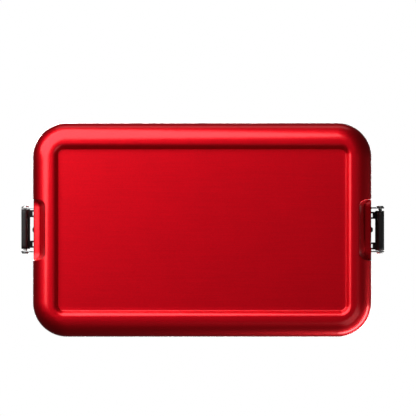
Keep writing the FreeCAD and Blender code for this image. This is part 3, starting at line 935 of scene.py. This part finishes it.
claws = bars("claws", claw_side, CLAW_WIDTH)
soften = claws.modifiers.new("edge", "BEVEL")
soften.width, soften.segments = CLAW_SOFT * MM, 2
baked(claws)
combine(claws, bars("slots", slot_side, SLOT_WIDTH), "DIFFERENCE")
combine(right_clip, claws, "UNION")
combine(right_clip, bore(), "DIFFERENCE")
print("clip with claws has", len(right_clip.data.polygons), "faces")

# %% [markdown]
# Black moulded plastic
#
# The mould was spark-eroded, which leaves a fine matte skin. It is nearly black,
# so what shows is the roughness: a shade smoother where a thumb rubs the tab.

# %% Finish the clips
CLIP_SHARP = radians(38)


def black_plastic():
    material, b, shader, co = finish_bench("black_plastic", Specular_IOR_Level=0.4)
    spark = noise(b, co, 3600.0, 2.0)
    cloud = noise(b, co, 120.0, 3.0)
    _, _, height = b.parts(co)
    rubbed = height.ramp(TAB_LOW * MM, LIFT_FROM * MM, 1.0, 0.0)
    colour = blend(b, cloud.ramp(0.3, 0.7),
                   (0.0085, 0.0085, 0.0090), (0.0125, 0.0125, 0.0130))
    join(b, shader, Base_Color=colour,
         Roughness=0.58 - rubbed * 0.06 + (spark - 0.5) * 0.2,
         Normal=bumped(b, spark, 0.00003, 0.4))
    return material

PLASTIC = black_plastic()
shape = bmesh.new()
shape.from_mesh(right_clip.data)
bmesh.ops.remove_doubles(shape, verts=shape.verts[:], dist=WELD)
bmesh.ops.dissolve_degenerate(shape, dist=CLIP_SLIVER, edges=shape.edges[:])
shape.to_mesh(right_clip.data)
shape.free()
right_clip.data.materials.clear()
right_clip.data.materials.append(PLASTIC)
smoothed(right_clip.data, CLIP_SHARP)
left_clip = placed("left_moulded_clip", right_clip.data.copy())
left_clip.data.transform(Matrix.Rotation(pi, 4, "Z"))
left_clip.data.name = left_clip.name
settle(right_clip, "right_clip_lever", "black_plastic", "right_clip")
settle(left_clip, "left_clip_lever", "black_plastic", "left_clip")
print("clips", left_clip.name, right_clip.name)

# %% [markdown]
# Camera
#
# The picture was taken straight at the underside through a long lens, so the
# camera stands six metres below, a fraction of a degree to one side. A lens this
# long keeps the walls out of sight, as in the picture.

# %% Camera
def look_along(place, towards, up):
    """Matrix of a camera or lamp that stands at place and looks at towards."""
    behind = (Vector(place) - Vector(towards)).normalized()
    side = Vector(up).cross(behind).normalized()
    turn = Matrix((side, behind.cross(side), behind)).transposed().to_4x4()
    return Matrix.Translation(place) @ turn

AIM = Vector((3.36, -12.8, 15.0)) * MM
LEAN, STAND_OFF = radians(0.4), 6.0
SENSOR, LENS, FARTHEST = 36.0, 887.0, 20.0
scene = bpy.context.scene
camera = placed("camera", bpy.data.cameras.new("camera"))
scene.camera = camera
camera.data.sensor_width, camera.data.lens = SENSOR, LENS
camera.data.clip_end = FARTHEST
stand = Vector((tan(LEAN), 0.0, -1.0)).normalized() * STAND_OFF
camera.matrix_world = look_along(AIM + stand, AIM, (0, -1, 0))
print("camera at", tuple(round(v, 3) for v in camera.location))

# %% [markdown]
# Lamps
#
# One large softbox stands close by off the upper left corner of the picture and
# makes the wide sheen on the left and top rolls. A dim one off the lower right
# corner opens the shade on the far rolls. Two strips stand a little behind the
# box, one near its lower right corner and one off its top edge, and draw narrow
# lines along the outline there. Two more softboxes high above the lid light the
# box for every other view.

# %% Softboxes
LIT_POINT = (0, 0, 0.02)


def softbox(name, place, size, power):
    """A lit rectangle, turned to the box; metres and watts."""
    lamp = bpy.data.lights.new(name, "AREA")
    lamp.shape, lamp.size, lamp.size_y = "RECTANGLE", size[0], size[1]
    lamp.energy = power
    placed(name, lamp).matrix_world = look_along(place, LIT_POINT, (0, 0, 1))

softbox("key_below", (-0.24, -0.29, -0.31), (0.72, 0.58), 4.3)
softbox("fill_below", (0.88, 0.88, -1.50), (1.20, 1.20), 4.0)
softbox("corner_strip", (0.235, 0.225, 0.09), (0.40, 0.08), 0.62)
softbox("top_strip", (0.0, -0.60, 0.13), (0.60, 0.20), 0.25)
softbox("key_above", (-0.30, -0.35, 3.00), (0.80, 0.80), 44.0)
softbox("fill_above", (0.40, 0.30, 2.80), (0.80, 0.80), 20.0)

# %% [markdown]
# Floor and background
#
# The camera sees a plain white background. For every other ray the surroundings
# are dim at the sides and bright overhead, as under a ceiling of softboxes,
# which is what the metal shows. The floor is a pale disc that keeps the
# object's shadow; it is see-through from beneath, because the picture looks up
# at the underside, and it fades out before its rim.

# %% White background
CEILING_FROM, SIDE_LIGHT, CEILING_LIGHT = 0.85, 0.025, 0.4
scene.view_settings.view_transform = "Standard"
world = bpy.data.worlds.new("studio")
scene.world = world
world.use_nodes = True
w = Bench(world.node_tree)
seen = w.add("ShaderNodeLightPath", out="Is Camera Ray")
_, _, upward = w.parts(w.add("ShaderNodeTexCoord", out="Generated"))
around = upward.ramp(CEILING_FROM, 1.0, SIDE_LIGHT, CEILING_LIGHT)
shade = w.tree.nodes["Background"]
shade.inputs["Color"].default_value = (1, 1, 1, 1)
strength = seen + (1 - seen) * around
w.tree.links.new(strength.socket, shade.inputs["Strength"])
print("background", world.name)

# %% Floor
FLOOR_R, FLOOR_SIDES, FLOOR_DROP = 1.8, 96, 0.3
FADE_FROM, FADE_TO, FLOOR_GLOW = 0.35, 1.5, 0.12
shape = bmesh.new()
bmesh.ops.create_circle(shape, cap_ends=True, segments=FLOOR_SIDES, radius=FLOOR_R,
                        matrix=Matrix.Translation((0, 0, -FLOOR_DROP * MM)))
floor = linked("floor", shape)
pale = bpy.data.materials.new("pale_floor")
pale.use_nodes = True
f = Bench(pale.node_tree)
f.tree.nodes.remove(f.tree.nodes["Principled BSDF"])
seen = f.add("ShaderNodeLightPath", out="Is Camera Ray")
beneath = f.add("ShaderNodeNewGeometry", out="Backfacing")
spot = f.add("ShaderNodeTexCoord", out="Object")
away = f.vector("LENGTH", spot, out="Value")
speck = noise(f, spot, 900.0)
tone = blend(f, speck, (0.80, 0.80, 0.80), (0.84, 0.84, 0.84))
shown = seen * (1 - beneath) * away.ramp(FADE_FROM, FADE_TO, 1.0, 0.0)
surface = f.add("ShaderNodeAddShader", {}, {
    0: f.add("ShaderNodeBsdfDiffuse", {}, {"Color": tone}),
    1: f.add("ShaderNodeEmission", {}, {"Strength": FLOOR_GLOW})})
mixed = f.add("ShaderNodeMixShader", {}, {
    0: shown, 1: f.add("ShaderNodeBsdfTransparent"), 2: surface})
f.tree.links.new(mixed.socket, f.tree.nodes["Material Output"].inputs["Surface"])
floor.data.materials.append(pale)
print("floor", FLOOR_R, "m")
